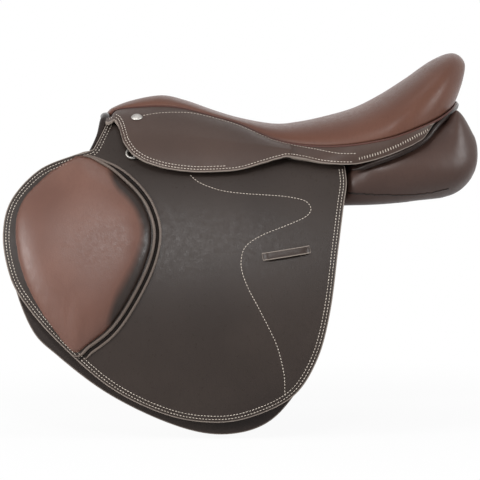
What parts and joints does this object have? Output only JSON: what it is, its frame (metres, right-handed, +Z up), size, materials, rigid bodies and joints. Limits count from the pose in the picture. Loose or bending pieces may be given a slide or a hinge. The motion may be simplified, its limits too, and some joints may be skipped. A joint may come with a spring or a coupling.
{
  "type": "jumping saddle",
  "caption": "English jumping saddle with a padded leather seat, forward-cut lifting flaps with knee pads, skirts over hinged stirrup bars, dee rings, girth straps and stuffed panels.",
  "frame": {"origin": "on the mid-plane under the deepest point of the seat, at the level where the panels bear on the horse's back", "axes": "+X towards the cantle, -X towards the pommel, -Y is the near (left) side, +Z up"},
  "size_m": [0.6138, 0.4034, 0.4794],
  "materials": {
    "tree_moulding": "moulded, matt",
    "steel": "plain steel",
    "webbing": "woven linen webbing",
    "foam": "open-cell seat foam",
    "seat_leather": "smooth dyed hide, semi-matt",
    "welt_leather": "rolled hide",
    "skirt_leather": "smooth dyed hide",
    "panel_leather": "soft hide over flock",
    "sweat_leather": "firm hide",
    "flap_leather": "grained dyed hide",
    "knee_leather": "smooth padded hide",
    "strap_leather": "bridle hide",
    "bar_steel": "forged and polished",
    "nickel": "nickel plated"
  },
  "bodies": {
    "saddle": {"tree": "tree_moulding", "head_plate": "steel", "head_rivets": "steel", "seat_webbing": "webbing", "seat_foam": "foam", "seat_cover": "seat_leather", "left_seat_welt": "welt_leather", "right_seat_welt": "welt_leather", "left_skirt_top": "skirt_leather", "right_skirt_top": "skirt_leather", "cantle_welt": "welt_leather", "pommel_facing": "welt_leather", "saddle_nails": "nickel", "gullet_lining": "panel_leather", "left_panel": "panel_leather", "right_panel": "panel_leather", "left_sweat_flap": "sweat_leather", "right_sweat_flap": "sweat_leather", "left_flap_head": "flap_leather", "right_flap_head": "flap_leather", "left_girth_webs": "webbing", "right_girth_webs": "webbing", "left_stirrup_bar": "bar_steel", "right_stirrup_bar": "bar_steel", "bar_rivets": "steel", "left_catch_pin": "steel", "right_catch_pin": "steel", "left_dee_staple": "nickel", "right_dee_staple": "nickel"},
    "left_flap": {"left_flap": "flap_leather", "left_knee_pad": "knee_leather", "left_keeper": "strap_leather"},
    "right_flap": {"right_flap": "flap_leather", "right_knee_pad": "knee_leather", "right_keeper": "strap_leather"},
    "left_skirt": {"left_skirt": "skirt_leather"},
    "left_bar_catch": {"left_bar_catch": "bar_steel"},
    "left_dee": {"left_dee": "nickel"},
    "left_front_billet": {"left_front_billet": "strap_leather"},
    "left_middle_billet": {"left_middle_billet": "strap_leather"},
    "left_rear_billet": {"left_rear_billet": "strap_leather"},
    "right_skirt": {"right_skirt": "skirt_leather"},
    "right_bar_catch": {"right_bar_catch": "bar_steel"},
    "right_dee": {"right_dee": "nickel"},
    "right_front_billet": {"right_front_billet": "strap_leather"},
    "right_middle_billet": {"right_middle_billet": "strap_leather"},
    "right_rear_billet": {"right_rear_billet": "strap_leather"}
  },
  "joints": [
    {"name": "left_flap_lift", "type": "hinge", "parent": "saddle", "child": "left_flap", "pos_m": [-0.09284, -0.11555, 0.03593], "axis": [-0.9838, 0.0881, 0.156], "range_deg": [0, 60]},
    {"name": "left_skirt_lift", "type": "hinge", "parent": "saddle", "child": "left_skirt", "pos_m": [-0.10776, -0.10136, 0.08724], "axis": [-0.9824, 0.1186, 0.1443], "range_deg": [0, 60]},
    {"name": "left_catch_turn", "type": "hinge", "parent": "saddle", "child": "left_bar_catch", "pos_m": [-0.1006, -0.10415, 0.07165], "axis": [0, -0.8422, 0.5391], "range_deg": [0, 90]},
    {"name": "left_dee_swing", "type": "hinge", "parent": "saddle", "child": "left_dee", "pos_m": [-0.194, -0.1022, 0.06371], "axis": [0, 0.5319, 0.8468], "range_deg": [0, 45]},
    {"name": "left_front_billet_swing", "type": "hinge", "parent": "saddle", "child": "left_front_billet", "pos_m": [-0.1076, -0.11311, 0.02438], "axis": [0, -0.8773, 0.4799], "range_deg": [-4, 2.5]},
    {"name": "left_middle_billet_swing", "type": "hinge", "parent": "saddle", "child": "left_middle_billet", "pos_m": [-0.0576, -0.11311, 0.02438], "axis": [0, -0.8773, 0.4799], "range_deg": [-2.5, 2.5]},
    {"name": "left_rear_billet_swing", "type": "hinge", "parent": "saddle", "child": "left_rear_billet", "pos_m": [-0.0076, -0.11311, 0.02438], "axis": [0, -0.8773, 0.4799], "range_deg": [-2.5, 4]},
    {"name": "right_flap_lift", "type": "hinge", "parent": "saddle", "child": "right_flap", "pos_m": [-0.09284, 0.11555, 0.03593], "axis": [0.9838, 0.0881, -0.156], "range_deg": [0, 60]},
    {"name": "right_skirt_lift", "type": "hinge", "parent": "saddle", "child": "right_skirt", "pos_m": [-0.10776, 0.10136, 0.08724], "axis": [0.9824, 0.1186, -0.1443], "range_deg": [0, 60]},
    {"name": "right_catch_turn", "type": "hinge", "parent": "saddle", "child": "right_bar_catch", "pos_m": [-0.1006, 0.10415, 0.07165], "axis": [0, -0.8422, -0.5391], "range_deg": [0, 90]},
    {"name": "right_dee_swing", "type": "hinge", "parent": "saddle", "child": "right_dee", "pos_m": [-0.194, 0.1022, 0.06371], "axis": [0, 0.5319, -0.8468], "range_deg": [0, 45]},
    {"name": "right_front_billet_swing", "type": "hinge", "parent": "saddle", "child": "right_front_billet", "pos_m": [-0.1076, 0.11311, 0.02438], "axis": [0, -0.8773, -0.4799], "range_deg": [-4, 2.5]},
    {"name": "right_middle_billet_swing", "type": "hinge", "parent": "saddle", "child": "right_middle_billet", "pos_m": [-0.0576, 0.11311, 0.02438], "axis": [0, -0.8773, -0.4799], "range_deg": [-2.5, 2.5]},
    {"name": "right_rear_billet_swing", "type": "hinge", "parent": "saddle", "child": "right_rear_billet", "pos_m": [-0.0076, 0.11311, 0.02438], "axis": [0, -0.8773, -0.4799], "range_deg": [-2.5, 4]}
  ]
}
